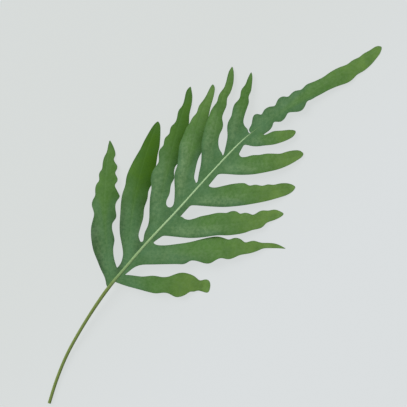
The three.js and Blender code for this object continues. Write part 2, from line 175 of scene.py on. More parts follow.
rightLobes = [
    dict(root=(-104, 2), heading=-57, bend=4, length=92, tip=-1.6, crown=2.5, bank=0.4, droop=0.7,
         yellow=0.45, deep=0.15, haze=0.1, shade=0.1,
         behind=[(10, 6.8), (22, 8.1), (33, 9.5), (40, 9.9), (45, 8.6), (50, 7.9), (54, 8.9),
                 (58, 10.8), (61, 11.2), (65, 10), (69, 7.9), (74, 3.7), (77, 4.3), (80, 2.3),
                 (86, 3.1), (91.5, 3.8)],
         ahead=[(6, 3.4), (14, 4.2), (24, 4.5), (35, 7), (44, 6.7), (50, 7.9), (56, 11), (61, 13.1),
                (65, 13.6), (69, 13.2), (76, 11.2), (80, 8.3), (82, 7), (85, 8.4), (88.6, 9.3),
                (91.2, 8.4), (93, 4.1)]),
    dict(root=(-70, 3), heading=-46, bend=-1, length=146, tip=-1.4, crown=2.5, bank=0.8, droop=0.8,
         yellow=0.35, deep=0.05, haze=0.3, shade=0.2,
         behind=[(-3, 13.8), (2, 12.8), (13, 12.8), (28, 12.8), (37, 12.9), (43, 13.2), (47, 11.6),
                 (50, 9.6), (56, 10.1), (62, 12.1), (66, 13.1), (70, 12.8), (76, 9.3), (81, 7.6),
                 (85, 8.8), (89, 9.1), (93, 8), (99, 5.3), (111, 3.3), (118, 1), (123, -1.1),
                 (133, -1.3), (140, -1)],
         ahead=[(13, 8.4), (16, 6.4), (24, 5.6), (36, 6.6), (49, 8.2), (62, 11.1), (70, 12.7),
                (76, 13.4), (80, 12.9), (84, 11.7), (89, 9.9), (93, 11.5), (97, 11.7), (101, 10.2),
                (105, 6.8), (109, 7.8), (114, 8.6), (118, 7.4), (121, 6.5), (128, 6.2), (134, 5.7),
                (139, 4.2)]),
    dict(root=(-36, 3), heading=-50, bend=17, length=122, tip=-1.4, crown=2.5, bank=0.8, droop=0.8,
         yellow=0.35, deep=0, haze=0.65, shade=0.5,
         behind=[(1, 8.7), (7, 9), (15, 9.7), (26, 10.7), (35, 10.7), (44, 10.1), (53, 9.5),
                 (64, 10.6), (73, 10.7), (80, 10.3), (88, 8.8), (94, 8.7), (98, 8), (101, 5.9),
                 (103, 4.4), (112, 3.3), (119, 1.7)],
         ahead=[(18, 10.8), (21, 8.2), (25, 7), (31, 8), (38, 10.1), (46, 11.1), (55, 12.3), (60, 12),
                (65, 11.3), (68, 12.3), (72, 12.5), (76, 11.2), (78, 8.6), (81, 9), (84, 9.1),
                (88, 7.4), (91, 5.5), (95, 6.7), (100, 8.3), (104, 7.7), (107, 6.8), (114, 6.4),
                (118, 4.3)]),
    dict(root=(4, 3), heading=-47, bend=10, length=106, tip=-1, crown=1.8, bank=0.6, droop=0.7,
         yellow=0.35, deep=0, haze=0.65, shade=0.6,
         behind=[(1, 7.9), (7, 8.2), (20, 9.6), (34, 10.8), (48, 10.7), (62, 10), (76, 8.9),
                 (89, 7.2), (97, 5.8), (103, 3.3)],
         ahead=[(18, 10.7), (21, 9.2), (25, 8.6), (34, 10), (43, 11.2), (53, 11.3), (56, 10.8),
                (60, 7.9), (66, 8.4), (73, 6.3), (79, 7.1), (84, 5.8), (92, 6.2), (99, 5.1),
                (104, 2.7)]),
    dict(root=(47, 5), heading=-53, bend=25, length=87, tip=1.5, crown=1.5, bank=0.6, droop=0.7,
         yellow=0.35, deep=0, haze=0.6, shade=0.2,
         behind=[(4, 9.2), (11, 9.1), (21, 9.6), (35, 9.6), (50, 8.6), (61, 7.8), (71, 6), (79, 3.9),
                 (85, 2.1)],
         ahead=[(21, 10.4), (23, 7.9), (28, 7.7), (35, 9.1), (43, 8.7), (49, 9.1), (56, 8.2),
                (64, 6.5), (72, 6.9), (80, 6), (85, 4)]),
    dict(root=(89, 2), heading=-68, bend=50, length=49, tip=4, crown=1, bank=0.4, droop=0.6,
         yellow=0.35, deep=0, haze=0.3, shade=0.2,
         behind=[(2, 9.4), (6, 9.2), (11, 8.2), (16, 6.7), (25, 5.7), (34, 4.4), (41, 3.6), (46, 2.4)],
         ahead=[(15, 3.2), (20, 5.1), (26, 7.2), (35, 6.4), (44, 4.4), (48, 2.2)]),
]
endLobe = dict(root=(91, 2), heading=-12, bend=-4, length=158, droop=0.35, droopFrom=96, droopOver=12,
               yellow=0.25, deep=0.1, haze=0.2, shade=0.5,
               left=[(1, 3.7), (6, 5.7), (11, 10.7), (14, 12.7), (17, 12), (19, 9.8), (20, 7.9),
                     (24, 10.5), (29, 11.1), (33, 9.9), (36, 7.7), (40, 10.4), (44, 12.2), (49, 11.2),
                     (52, 7.9), (57, 9.2), (62, 9.2), (67, 6.6), (71, 7.4), (74, 8.2), (83, 6.4),
                     (93, 5.2), (101, 5.6), (111, 4.9), (120, 3), (127, 3.7), (134, 2.7), (140, 3.5),
                     (147, 3), (155.5, 3)],
               right=[(18, 8.5), (23, 6.8), (26, 3.8), (29, 5.8), (32, 8), (38, 7.3), (43, 4.5),
                      (46, 5.7), (51, 8.8), (56, 10.5), (61, 8.8), (66, 5.5), (70, 6.8), (74, 6.7),
                      (80, 7.4), (91, 8.3), (101, 10.1), (109, 12.1), (114, 12.5), (118, 11.9),
                      (123, 10.5), (127, 10.8), (132, 10.9), (141, 9.4), (148, 7.1), (154.6, 4.4)])


# the fineness of the curves, and the gaps in mm below which two places count as one
edgeSteps = 12
midlineSteps = 40
samePlace = 1e-6
leastStep = 1e-4
leastLength = 1e-9


def smoothLine(points, steps):
    # a smooth curve through the points, as a fine line of vectors; the square root of each step's
    # length keeps it from looping where the points are uneven
    pts = [Vector(p) for p in points]
    pts = [p for i, p in enumerate(pts) if i == 0 or (p - pts[i - 1]).length > samePlace]
    pts = [2 * pts[0] - pts[1]] + pts + [2 * pts[-1] - pts[-2]]
    line = [pts[1]]
    for a, b, c, d in zip(pts, pts[1:], pts[2:], pts[3:]):
        da, db, dc = (math.sqrt(max((q - p).length, leastStep)) for p, q in ((a, b), (b, c), (c, d)))
        startSlope = ((b - a) / da - (c - a) / (da + db) + (c - b) / db) * db
        endSlope = ((c - b) / db - (d - b) / (db + dc) + (d - c) / dc) * db
        for step in range(1, steps + 1):
            t = step / steps
            line.append(b * (2 * t ** 3 - 3 * t ** 2 + 1) + startSlope * (t ** 3 - 2 * t ** 2 + t)
                        + c * (3 * t ** 2 - 2 * t ** 3) + endSlope * (t ** 3 - t ** 2))
    return line


def spread(line, count):
    # count points at equal distances along a line, both ends included
    lengths = [0.0]
    for a, b in zip(line, line[1:]):
        lengths.append(lengths[-1] + (b - a).length)
    found, i = [], 0
    for n in range(count):
        want = lengths[-1] * n / (count - 1)
        while i < len(line) - 2 and lengths[i + 1] < want:
            i += 1
        share = (want - lengths[i]) / max(lengths[i + 1] - lengths[i], leastLength)
        found.append(line[i].lerp(line[i + 1], min(1.0, share)))
    return found


midlineFine = smoothLine(midline, midlineSteps)


def midlineAt(x):
    # place, height and radius of the midline at a distance along X
    lowest, highest = 0, len(midlineFine) - 1
    while highest - lowest > 1:
        middle = (lowest + highest) // 2
        if midlineFine[middle].x < x:
            lowest = middle
        else:
            highest = middle
    a, b = midlineFine[lowest], midlineFine[highest]
    return a.lerp(b, min(1.0, max(0.0, (x - a.x) / (b.x - a.x))))


def seatPoint(x):
    # the blade joins the rib a little above the rib's middle
    p = midlineAt(x)
    return Vector((p.x, p.y, p.z + frond["seatShare"] * p.w))


def axisPoint(lobe, along, aside):
    start = math.radians(lobe["heading"])
    curl = math.radians(lobe["bend"]) / lobe["length"]
    heading = start + curl * along
    x = lobe["root"][0] + (math.sin(heading) - math.sin(start)) / curl
    y = lobe["root"][1] - (math.cos(heading) - math.cos(start)) / curl
    return Vector((x - math.sin(heading) * aside, y + math.cos(heading) * aside, 0))


def axisPlace(lobe, x, y):
    # how far along a lobe's axis a point lies, and how far to its left
    start = math.radians(lobe["heading"])
    curl = math.radians(lobe["bend"]) / lobe["length"]
    outX = x - (lobe["root"][0] - math.sin(start) / curl)
    outY = y - (lobe["root"][1] + math.cos(start) / curl)
    turn = math.copysign(1, curl)
    heading = math.atan2(outX * turn, -outY * turn)
    return (heading - start) / curl, turn * (1 / abs(curl) - math.hypot(outX, outY))


def smoothStep(value):
    clamped = min(1.0, max(0.0, value))
    return clamped * clamped * (3 - 2 * clamped)


def ribStations():
    cuts = sorted(end[0] for cut in leftCuts + rightCuts for end in cut)
    stations = [cuts[0]]
    for value in cuts[1:]:
        last = stations[-1]
        steps = math.ceil((value - last) / frond["columnSpacing"]) if value > last else 0
        stations += [last + (value - last) * step / steps for step in range(1, steps + 1)]
    return stations


stations = ribStations()


def stationsBetween(first, last):
    return [x for x in stations if first - samePlace <= x <= last + samePlace]


def gridPatch(bm, rows, lobeNumber, outward, side, ribAlong="row"):
    # one grid of the leaf, its points taken from rows; outward says how far each row is past the
    # strip. A point's place in the unit grid, -0.5 to 0.5, says which row and column it is.
    lobeLayer = bm.faces.layers.int["lobe"]
    outLayer = bm.verts.layers.float["outward"]
    seatLayer = bm.verts.layers.float["seat"]
    ribLayer = bm.verts.layers.int["onRib"]
    columns = len(rows[0]) - 1
    made = bmesh.ops.create_grid(bm, x_segments=columns, y_segments=len(rows) - 1, size=0.5)["verts"]
    for vert in made:
        column = round((vert.co.x + 0.5) * columns)
        row = round((vert.co.y + 0.5) * (len(rows) - 1))
        place, seat = rows[row][column]
        vert.co = place
        vert[outLayer] = outward[row]
        vert[seatLayer] = seat
        vert[ribLayer] = int((row if ribAlong == "row" else column) == 0)
    faces = {face for vert in made for face in vert.link_faces}
    for face in faces:
        face[lobeLayer] = lobeNumber
    if side < 0:
        bmesh.ops.reverse_faces(bm, faces=list(faces))
    bmesh.ops.remove_doubles(bm, verts=made, dist=frond["patchWeld"])


def sideLobe(bm, lobe, lobeNumber, side, cutBehind, cutAhead):
    starts = [seatPoint(x) for x in stationsBetween(cutBehind[0], cutAhead[0])]
    tip = axisPoint(lobe, lobe["length"] + frond["tipGrowth"], 0)
    lobeRows = round(lobe["length"] / frond["rowSpacing"])
    edges = []
    for cut, name, way in ((cutBehind, "behind", side), (cutAhead, "ahead", -side)):
        growth = frond[name + "Growth"]
        listed = [axisPoint(lobe, along, way * (aside + growth)) for along, aside in lobe[name]]
        edge = smoothLine([Vector((*cut, 0))] + listed + [tip], edgeSteps)
        edges.append(spread(edge, lobeRows + 1))
    strip, last = frond["stripRows"], len(starts) - 1
    rows, outward = [], []
    for row in range(strip + lobeRows + 1):
        past = max(0, row - strip)
        behind, ahead = edges[0][past], edges[1][past]
        line = []
        for column, start in enumerate(starts):
            across = column / last
            place = behind.lerp(ahead, across)
            if row <= strip:
                waist = 1 - frond["stripWaist"] * (1 - (2 * across - 1) ** frond["waistPower"])
                place = Vector((start.x, start.y, 0)).lerp(place, row / strip * waist)
            line.append((place, start.z))
        rows.append(line)
        outward.append(past * frond["rowSpacing"])
    gridPatch(bm, rows, lobeNumber, outward, side)


def cutStrip(bm, cut, lobeNumber, side):
    # the strip of blade between the rib and the straight bottom of a wide cut
    starts = [seatPoint(x) for x in stationsBetween(cut[0][0], cut[1][0])]
    strip, last = frond["stripRows"], len(starts) - 1
    rows = []
    for row in range(strip + 1):
        line = []
        for column, start in enumerate(starts):
            across = column / last
            edge = Vector((*cut[0], 0)).lerp(Vector((*cut[1], 0)), across)
            line.append((Vector((start.x, start.y, 0)).lerp(edge, row / strip), start.z))
        rows.append(line)
    gridPatch(bm, rows, lobeNumber, [0] * len(rows), side)


def endLobeHalf(bm, lobeNumber, side, cut, places, starts):
    growth = frond["behindGrowth"] if side > 0 else frond["aheadGrowth"]
    listed = [axisPoint(endLobe, along, side * (aside + growth)) for along, aside in places]
    tip = Vector((starts[-1].x, starts[-1].y, 0))
    edge = spread(smoothLine([Vector((*cut, 0))] + listed + [tip], edgeSteps), len(starts))
    strip = frond["stripRows"]
    rows = []
    for start, end in zip(starts, edge):
        onRib = Vector((start.x, start.y, 0))
        rows.append([(onRib.lerp(end, column / strip), start.z) for column in range(strip + 1)])
    gridPatch(bm, rows, lobeNumber, [0] * len(rows), -side, "column")


def lobeHeight(lobe, side, rootHeight, along, aside):
    # a lobe arches from the midrib to its tip, banks, droops at its margins and ruffles
    part = min(1.0, max(0.0, along / lobe["length"]))
    behind = side * aside / frond["widthUnit"]
    arch = rootHeight + (lobe["tip"] - rootHeight) * part ** frond["archPower"]
    arch += lobe["crown"] * math.sin(math.pi * part)
    fade = 1 - part ** frond["fadePower"]
    phase = 2 * math.pi * along / frond["ruffleLength"] + side * behind + lobe["root"][0]
    wave = frond["ruffle"] * math.sin(phase)
    return arch + fade * (lobe["bank"] * behind + (wave - lobe["droop"]) * behind * behind)


def buildSurface():
    # the leaf's upper surface: every lobe's grid, welded along the strips
    bm = bmesh.new()
    bm.faces.layers.int.new("lobe")
    bm.verts.layers.float.new("outward")
    bm.verts.layers.float.new("seat")
    bm.verts.layers.int.new("onRib")
    sides = ((1, leftLobes, leftCuts, 0), (-1, rightLobes, rightCuts, len(leftLobes)))
    for side, lobes, cuts, first in sides:
        for i, lobe in enumerate(lobes):
            sideLobe(bm, lobe, first + i, side, cuts[i][1], cuts[i + 1][0])
            if cuts[i][1][0] > cuts[i][0][0]:
                cutStrip(bm, cuts[i], first + i, side)
    lastLeft, lastRight = leftCuts[-1][1], rightCuts[-1][1]
    tipX = midline[-1][0]
    count = round((tipX - lastRight[0]) / frond["rowSpacing"])
    onward = [seatPoint(lastRight[0] + (tipX - lastRight[0]) * n / count) for n in range(count + 1)]
    between = [seatPoint(x) for x in stationsBetween(lastLeft[0], lastRight[0])[:-1]]
    number = len(leftLobes) + len(rightLobes)
    endLobeHalf(bm, number, 1, lastLeft, endLobe["left"], between + onward)
    endLobeHalf(bm, number, -1, lastRight, endLobe["right"], onward)
    outLayer = bm.verts.layers.float["outward"]
    strip = [v for v in bm.verts if v[outLayer] == 0]
    bmesh.ops.remove_doubles(bm, verts=strip, dist=frond["patchWeld"])
    return bm


def roundMargin(bm):
    # softens the corners of the margin, at the tips and in the cuts
    pull = frond["marginPull"]
    for _ in range(frond["marginPasses"]):
        moves = {}
        for vert in bm.verts:
            if vert.is_boundary:
                beside = [e.other_vert(vert).co for e in vert.link_edges if e.is_boundary]
                moves[vert] = vert.co * (1 - pull) + (beside[0] + beside[1]) * pull / 2
        for vert, place in moves.items():
            vert.co = place


def relax(bm, verts, passes, flat):
    # evens points out, in plan when flat, otherwise in height
    for _ in range(passes):
        bmesh.ops.smooth_vert(bm, verts=verts, factor=frond["smoothing"],
                              use_axis_x=flat, use_axis_y=flat, use_axis_z=not flat)


def shapeSurface(bm):
    # evens the grids out in plan, then gives every point its height
    outLayer = bm.verts.layers.float["outward"]
    seatLayer = bm.verts.layers.float["seat"]
    ribLayer = bm.verts.layers.int["onRib"]
    lobeLayer = bm.faces.layers.int["lobe"]
    lobes = [(lobe, 1) for lobe in leftLobes] + [(lobe, -1) for lobe in rightLobes]
    roundMargin(bm)
    free = [v for v in bm.verts if not v.is_boundary and not v[ribLayer]]
    relax(bm, free, frond["relaxPasses"], True)
    for vert in bm.verts:
        number = vert.link_faces[0][lobeLayer]
        height = vert[seatLayer]
        if number == len(lobes):
            aside = vert.co.y - midlineAt(vert.co.x).y
            fade = smoothStep((vert.co.x - endLobe["droopFrom"]) / endLobe["droopOver"])
            height -= fade * endLobe["droop"] * (aside / frond["widthUnit"]) ** 2
        elif vert[outLayer] > 0:
            lobe, side = lobes[number]
            along, aside = axisPlace(lobe, vert.co.x, vert.co.y)
            settled = smoothStep(frond["settling"] * vert[outLayer] / lobe["length"])
            lobed = lobeHeight(lobe, side, seatPoint(lobe["root"][0]).z, along, aside)
            groove = frond["grooveDepth"] * math.exp(-(aside / frond["grooveWidth"]) ** 2)
            phase = (along - frond["veinSlant"] * abs(aside)) / frond["veinSpacing"]
            quilt = frond["veinRelief"] * math.cos(2 * math.pi * phase)
            quilt *= smoothStep(abs(aside) / frond["veinFade"])
            height += settled * (lobed - groove - quilt - height)
        vert.co.z = height
    relax(bm, free, frond["heightPasses"], False)
    for vert in bm.verts:
        vert.co.z = max(frond["leafThickness"] / 2, vert.co.z)


# where each tint lies on a lobe: along it in shares of its length, across it in width units
tints = {
    "tipYellow": 0.7,           # the yellowing of a tip, before the lobe's own
    # where the painted shade near a lobe's base ends and how it fades, and its share on the other half
    "shadeUntil": 0.7,
    "shadeFade": 0.35,
    "shadeAhead": 0.9,          # the shade on the tip's side of the left-hand lobes
    "deepFrom": 0.2,
    "deepFade": 0.45,
    # deep is fuller on the tip's side half: painted shade where that half banks away from the light
    "deepLeast": 0.8,           # its share on the stalk's side, until it is full all the way across
    "deepAside": 0.6,
    "fullFrom": 0.6,
    "fullFade": 0.25,
    # the haze is a painted sheen, in part a waxy bloom, mid-length on the half on the stalk's side
    "hazeStart": 0.15,
    "hazeUntil": 0.68,
    "hazeFade": 0.3,
    "hazeAside": 0.5,
}


def lobeTints(lobe, side, place):
    # where a point of the leaf lies on its lobe, and its yellowing with the painted shade near the base
    # taken off, its depth of green, in part painted shade, and its haze, a painted sheen
    if lobe is endLobe:
        along, aside = place.x - endLobe["root"][0], place.y - midlineAt(place.x).y
    else:
        along, aside = axisPlace(lobe, place.x, place.y)
    part, behind = along / lobe["length"], side * aside / frond["widthUnit"]
    # painted shade: darker near the base, most at the margins, where the lobe droops away from the light
    inner = smoothStep((tints["shadeUntil"] - part) / tints["shadeFade"])
    ahead = tints["shadeAhead"] * side * smoothStep(-behind)
    shade = lobe["shade"] * inner * max(smoothStep(behind), ahead)
    # the painted shade is taken off the yellowing, so below 0 it darkens towards the shade colour
    yellow = smoothStep(part) * (tints["tipYellow"] + lobe["yellow"]) - shade
    # the deep green is darker on the tip's side half as painted shade, and full across towards the tip
    shadedHalf = tints["deepLeast"] + (1 - tints["deepLeast"]) * smoothStep(tints["deepAside"] - behind)
    full = smoothStep((part - tints["fullFrom"]) / tints["fullFade"])
    deep = lobe["deep"] * smoothStep((part - tints["deepFrom"]) / tints["deepFade"]) * max(shadedHalf, full)
    # haze: a painted sheen, in part a waxy bloom, on the stalk's side half, away from base and tip
    haze = lobe["haze"] * smoothStep(part / tints["hazeStart"])
    haze *= smoothStep((tints["hazeUntil"] - part) / tints["hazeFade"])
    haze *= smoothStep(behind + tints["hazeAside"])
    return along, aside, yellow, deep, haze


def drawPatterns(bm):
    # three maps: how far along and aside of its lobe a point lies, in mm; its yellowing, which is
    # below 0 where shade is painted, and its distance from the margin; its depth of green, in part
    # painted shade, and its haze, a painted sheen
    way, tint, age = (bm.loops.layers.uv.new(name) for name in ("leafWay", "leafTint", "leafAge"))
    lobeLayer = bm.faces.layers.int["lobe"]
    lobes = [(lobe, 1) for lobe in leftLobes] + [(lobe, -1) for lobe in rightLobes] + [(endLobe, 1)]
    rim = [e for e in bm.edges if e.is_boundary]
    tree = KDTree(2 * len(rim))
    for i, edge in enumerate(rim):
        tree.insert(edge.verts[0].co, 2 * i)
        tree.insert((edge.verts[0].co + edge.verts[1].co) / 2, 2 * i + 1)
    tree.balance()
    margins = {v: tree.find(v.co)[2] for v in bm.verts}
    for face in bm.faces:
        lobe, side = lobes[face[lobeLayer]]
        for loop in face.loops:
            along, aside, yellow, deep, haze = lobeTints(lobe, side, loop.vert.co)
            loop[way].uv = along, aside
            loop[tint].uv = yellow, margins[loop.vert]
            loop[age].uv = deep, haze


stalk = {
    "ringPoints": 20,
    "ringSpacing": 1.4,
    "ribEnd": 104,              # how far along it runs, into the end lobe
    "grooveDepth": 0.13,        # share of the radius
    "grooveTurn": 0.45,         # how wide the groove is, in radians
    "cutInset": 0.15,
}


def buildStalk():
    # the stalk and the rib in one: a ring drawn out along the midline, with a shallow groove on top
    bm = bmesh.new()
    cutEnd = midline[0][0]
    length = stalk["ribEnd"] - cutEnd
    count = round(length / stalk["ringSpacing"])
    places = [midlineAt(cutEnd + length * n / count) for n in range(count + 1)]
    ring = bmesh.ops.create_circle(bm, cap_ends=False, segments=stalk["ringPoints"], radius=1)["verts"]
    turns = [math.atan2(v.co.y, v.co.x) for v in ring]
    edges = list(bm.edges)
    for n, place in enumerate(places):
        if n:
            made = bmesh.ops.extrude_edge_only(bm, edges=edges)["geom"]
            edges = [g for g in made if isinstance(g, bmesh.types.BMEdge) and g.is_boundary]
            following = []
            for vert in ring:
                beside = [e.other_vert(vert) for e in vert.link_edges]
                following += [other for other in beside if other in made and other not in ring]
            ring = following
        before, after = places[max(0, n - 1)], places[min(count, n + 1)]
        forward = (after.to_3d() - before.to_3d()).normalized()
        right = forward.cross(Vector((0, 0, 1))).normalized()
        up = right.cross(forward)
        for vert, turn in zip(ring, turns):
            upness = abs(math.remainder(turn - math.pi / 2, 2 * math.pi)) / stalk["grooveTurn"]
            radius = place.w * (1 - stalk["grooveDepth"] * math.exp(-upness ** 2))
            vert.co = place.to_3d() + right * math.cos(turn) * radius + up * math.sin(turn) * radius
            vert.co.z = max(0, vert.co.z)       # nothing goes below the table
    ends = [e for e in bm.edges if e.is_boundary]
    caps = bmesh.ops.holes_fill(bm, edges=ends, sides=0)["faces"]
    bmesh.ops.inset_region(bm, faces=caps, thickness=stalk["cutInset"], depth=0)
    bmesh.ops.recalc_face_normals(bm, faces=bm.faces)
    way = bm.loops.layers.uv.new("leafWay")
    for name in ("leafTint", "leafAge"):
        bm.loops.layers.uv.new(name)            # left empty, so that the joined leaf has the same maps
    for face in bm.faces:
        for loop in face.loops:
            place = midlineAt(loop.vert.co.x)
            loop[way].uv = loop.vert.co.x, math.atan2(loop.vert.co.z - place.z, loop.vert.co.y - place.y)
    return bm


def newObject(bm, name, materials):
    mesh = bpy.data.meshes.new(name)
    bm.to_mesh(mesh)
    bm.free()
    piece = bpy.data.objects.new(name, mesh)
    bpy.context.collection.objects.link(piece)
    for material in materials:
        mesh.materials.append(material)
    return piece


def appliedMesh(piece):
    # the piece's mesh with its modifiers applied
    graph = bpy.context.evaluated_depsgraph_get()
    return bpy.data.meshes.new_from_object(
        piece.evaluated_get(graph), preserve_all_data_layers=True, depsgraph=graph)


def placeInFrame(bm):
    # from millimetres about the frond's own zero to the frame's metres
    lowest = Vector((low.x, low.y, 0))
    shift = lowest - Vector((*frond["lowestCorner"], 0)) * mm
    bmesh.ops.transform(bm, matrix=Matrix.Translation(shift) @ Matrix.Scale(mm, 4), verts=bm.verts)


def tone(red, green, blue):
    # a colour as the eye reads it, 0 to 255, as the shader's linear colour, by the standard curve
    seen = [value / 255 for value in (red, green, blue)]
    return [p / 12.92 if p <= 0.04045 else ((p + 0.055) / 1.055) ** 2.4 for p in seen] + [1]


def feed(tree, socket, value):
    # a number or a colour is set on the socket, anything else is linked to it
    if isinstance(value, (int, float, list)):
        socket.default_value = value
    else:
        tree.links.new(value, socket)


def maths(tree, operation, *values, clamp=False):
    node = tree.nodes.new("ShaderNodeMath")
    node.operation = operation
    node.use_clamp = clamp
    for socket, value in zip(node.inputs, values):
        feed(tree, socket, value)
    return node.outputs[0]


def fadeBetween(tree, value, start, end):
    # 0 at start, 1 at end, smooth between
    node = tree.nodes.new("ShaderNodeMapRange")
    node.interpolation_type = "SMOOTHSTEP"
    tree.links.new(value, node.inputs["Value"])
    node.inputs["From Min"].default_value = start
    node.inputs["From Max"].default_value = end
    return node.outputs["Result"]


def mixed(tree, share, first, second):
    # two colours mixed; for colours the node's inputs are 0, 6 and 7 and its output is 2
    node = tree.nodes.new("ShaderNodeMix")
    node.data_type = "RGBA"
    for socket, value in ((node.inputs[0], share), (node.inputs[6], first), (node.inputs[7], second)):
        feed(tree, socket, value)
    return node.outputs[2]


def noise(tree, coordinate, scale, detail, roughness=0.55):
    node = tree.nodes.new("ShaderNodeTexNoise")
    tree.links.new(coordinate, node.inputs["Vector"])
    node.inputs["Detail"].default_value = detail
    node.inputs["Roughness"].default_value = roughness
    feed(tree, node.inputs["Scale"], scale)
    return node.outputs["Fac"]


def newGroup(name, inputs, outputs):
    group = bpy.data.node_groups.new(name, "ShaderNodeTree")
    for title, kind in inputs:
        group.interface.new_socket(title, in_out="INPUT", socket_type=kind)
    for title, kind in outputs:
        group.interface.new_socket(title, in_out="OUTPUT", socket_type=kind)
    given = group.nodes.new("NodeGroupInput").outputs
    return group, given, group.nodes.new("NodeGroupOutput").inputs


def parts(tree, vector):
    split = tree.nodes.new("ShaderNodeSeparateXYZ")
    tree.links.new(vector, split.inputs[0])
    return split.outputs["X"], split.outputs["Y"]


def placeGroup(tree, group, **values):
    node = tree.nodes.new("ShaderNodeGroup")
    node.node_tree = group
    for title, value in values.items():
        feed(tree, node.inputs[title], value)
    return node.outputs


# each pair is where a vein begins to show and where it shows fully
veinPattern = {
    "midvein": (1.1, 0.2),      # mm from the middle of the lobe
    "sides": (0.16, 0.02),      # shares of the veins' spacing
    "sidesStart": (0.3, 1.5),   # mm from the middle of the lobe
    "wander": 2.2,              # mm that the side veins stray
    "wanderScale": 260,         # scales are per metre
    "wanderDetail": 2,
    "netScale": 620,
    "net": (0.14, 0.0),
}


def makeVeins():
    # the midvein, the side veins that leave it at a slant, and the fine net between them
    group, given, put = newGroup(
        "leafVeins",
        [("Way", "NodeSocketVector"), ("Place", "NodeSocketVector"), ("Spacing", "NodeSocketFloat"),
         ("Slant", "NodeSocketFloat")],
        [("Midvein", "NodeSocketFloat"), ("Sides", "NodeSocketFloat"), ("Net", "NodeSocketFloat")])
    along, aside = parts(group, given["Way"])
    aside = maths(group, "ABSOLUTE", aside)
    group.links.new(fadeBetween(group, aside, *veinPattern["midvein"]), put["Midvein"])
    wander = noise(group, given["Place"], veinPattern["wanderScale"], veinPattern["wanderDetail"])
    wander = maths(group, "MULTIPLY", wander, veinPattern["wander"])
    slanted = maths(group, "SUBTRACT", along, maths(group, "MULTIPLY", aside, given["Slant"]))
    phase = maths(group, "DIVIDE", maths(group, "ADD", slanted, wander), given["Spacing"])
    offLine = maths(group, "ABSOLUTE", maths(group, "SUBTRACT", maths(group, "FRACT", phase), 0.5))
    veins = maths(group, "MULTIPLY", fadeBetween(group, offLine, *veinPattern["sides"]),
                  fadeBetween(group, aside, *veinPattern["sidesStart"]))
    group.links.new(veins, put["Sides"])
    cells = group.nodes.new("ShaderNodeTexVoronoi")
    cells.feature = "DISTANCE_TO_EDGE"
    cells.inputs["Scale"].default_value = veinPattern["netScale"]
    group.links.new(given["Place"], cells.inputs["Vector"])
    group.links.new(fadeBetween(group, cells.outputs["Distance"], *veinPattern["net"]), put["Net"])
    return group


cloudPattern = {
    "fade": (0.3, 0.7),         # the part of the noise that is spread over 0 to 1
    "patchDetail": 3,
    "speckleDetail": 4,
    "speckleRoughness": 0.65,
}


def makeClouding():
    # broad soft patches and a finer speckle, 0 to 1 about 0.5
    group, given, put = newGroup(
        "clouding",
        [("Place", "NodeSocketVector"), ("Patch", "NodeSocketFloat"), ("Speckle", "NodeSocketFloat")],
        [("Tone", "NodeSocketFloat"), ("Fine", "NodeSocketFloat")])
    broad = noise(group, given["Place"], given["Patch"], cloudPattern["patchDetail"])
    group.links.new(fadeBetween(group, broad, *cloudPattern["fade"]), put["Tone"])
    fine = noise(group, given["Place"], given["Speckle"], cloudPattern["speckleDetail"],
                 cloudPattern["speckleRoughness"])
    group.links.new(fadeBetween(group, fine, *cloudPattern["fade"]), put["Fine"])
    return group


veinGroup, cloudGroup = makeVeins(), makeClouding()


def newMaterial(name, specular):
    material = bpy.data.materials.new(name)
    material.use_nodes = True
    tree = material.node_tree
    shader = tree.nodes["Principled BSDF"]
    shader.inputs["Specular IOR Level"].default_value = specular
    place = tree.nodes.new("ShaderNodeTexCoord").outputs["Object"]
    return material, tree, shader, place


def fromMap(tree, name):
    source = tree.nodes.new("ShaderNodeUVMap")
    source.uv_map = name
    return source.outputs["UV"]


def finishShader(tree, shader, colour, height, roughnessTone, finish):
    tree.links.new(colour, shader.inputs["Base Color"])
    rough = maths(tree, "MULTIPLY", roughnessTone, finish["roughnessSpread"])
    tree.links.new(maths(tree, "ADD", rough, finish["roughness"]), shader.inputs["Roughness"])
    bump = tree.nodes.new("ShaderNodeBump")
    bump.inputs["Distance"].default_value = mm
    bump.inputs["Strength"].default_value = finish["bump"]
    tree.links.new(height, bump.inputs["Height"])
    tree.links.new(bump.outputs["Normal"], shader.inputs["Normal"])


leafFinish = {
    "base": tone(72, 111, 70),
    "middle": tone(79, 119, 54),
    "tip": tone(106, 138, 62),
    # a darker, more saturated green towards the tips, also painted shade on one half of a lobe
    "deep": tone(62, 101, 10),
    "dark": tone(54, 94, 38),
    # the pale colour of the painted sheen, in part a waxy bloom
    "hazy": tone(116, 146, 98),
    "vein": tone(112, 148, 104),
    # a darker rim along the margin: painted shade standing for a downturned edge
    "rim": tone(48, 78, 38),
    # the colour of the painted shade near the lobes' bases
    "shade": tone(34, 60, 34),
    "patches": 0.43,
    "speckle": 0.22,
    "veins": 0.03,
    "rimWidth": 1.4,
    "rimShare": 0.3,
    "roughness": 0.46,
    "roughnessSpread": 0.12,
    "specular": 0.2,
    "bump": 0.35,
    "midveinRelief": -0.15,
    "sideRelief": -0.08,
    "netRelief": -0.08,
    "grainRelief": 0.06,
}

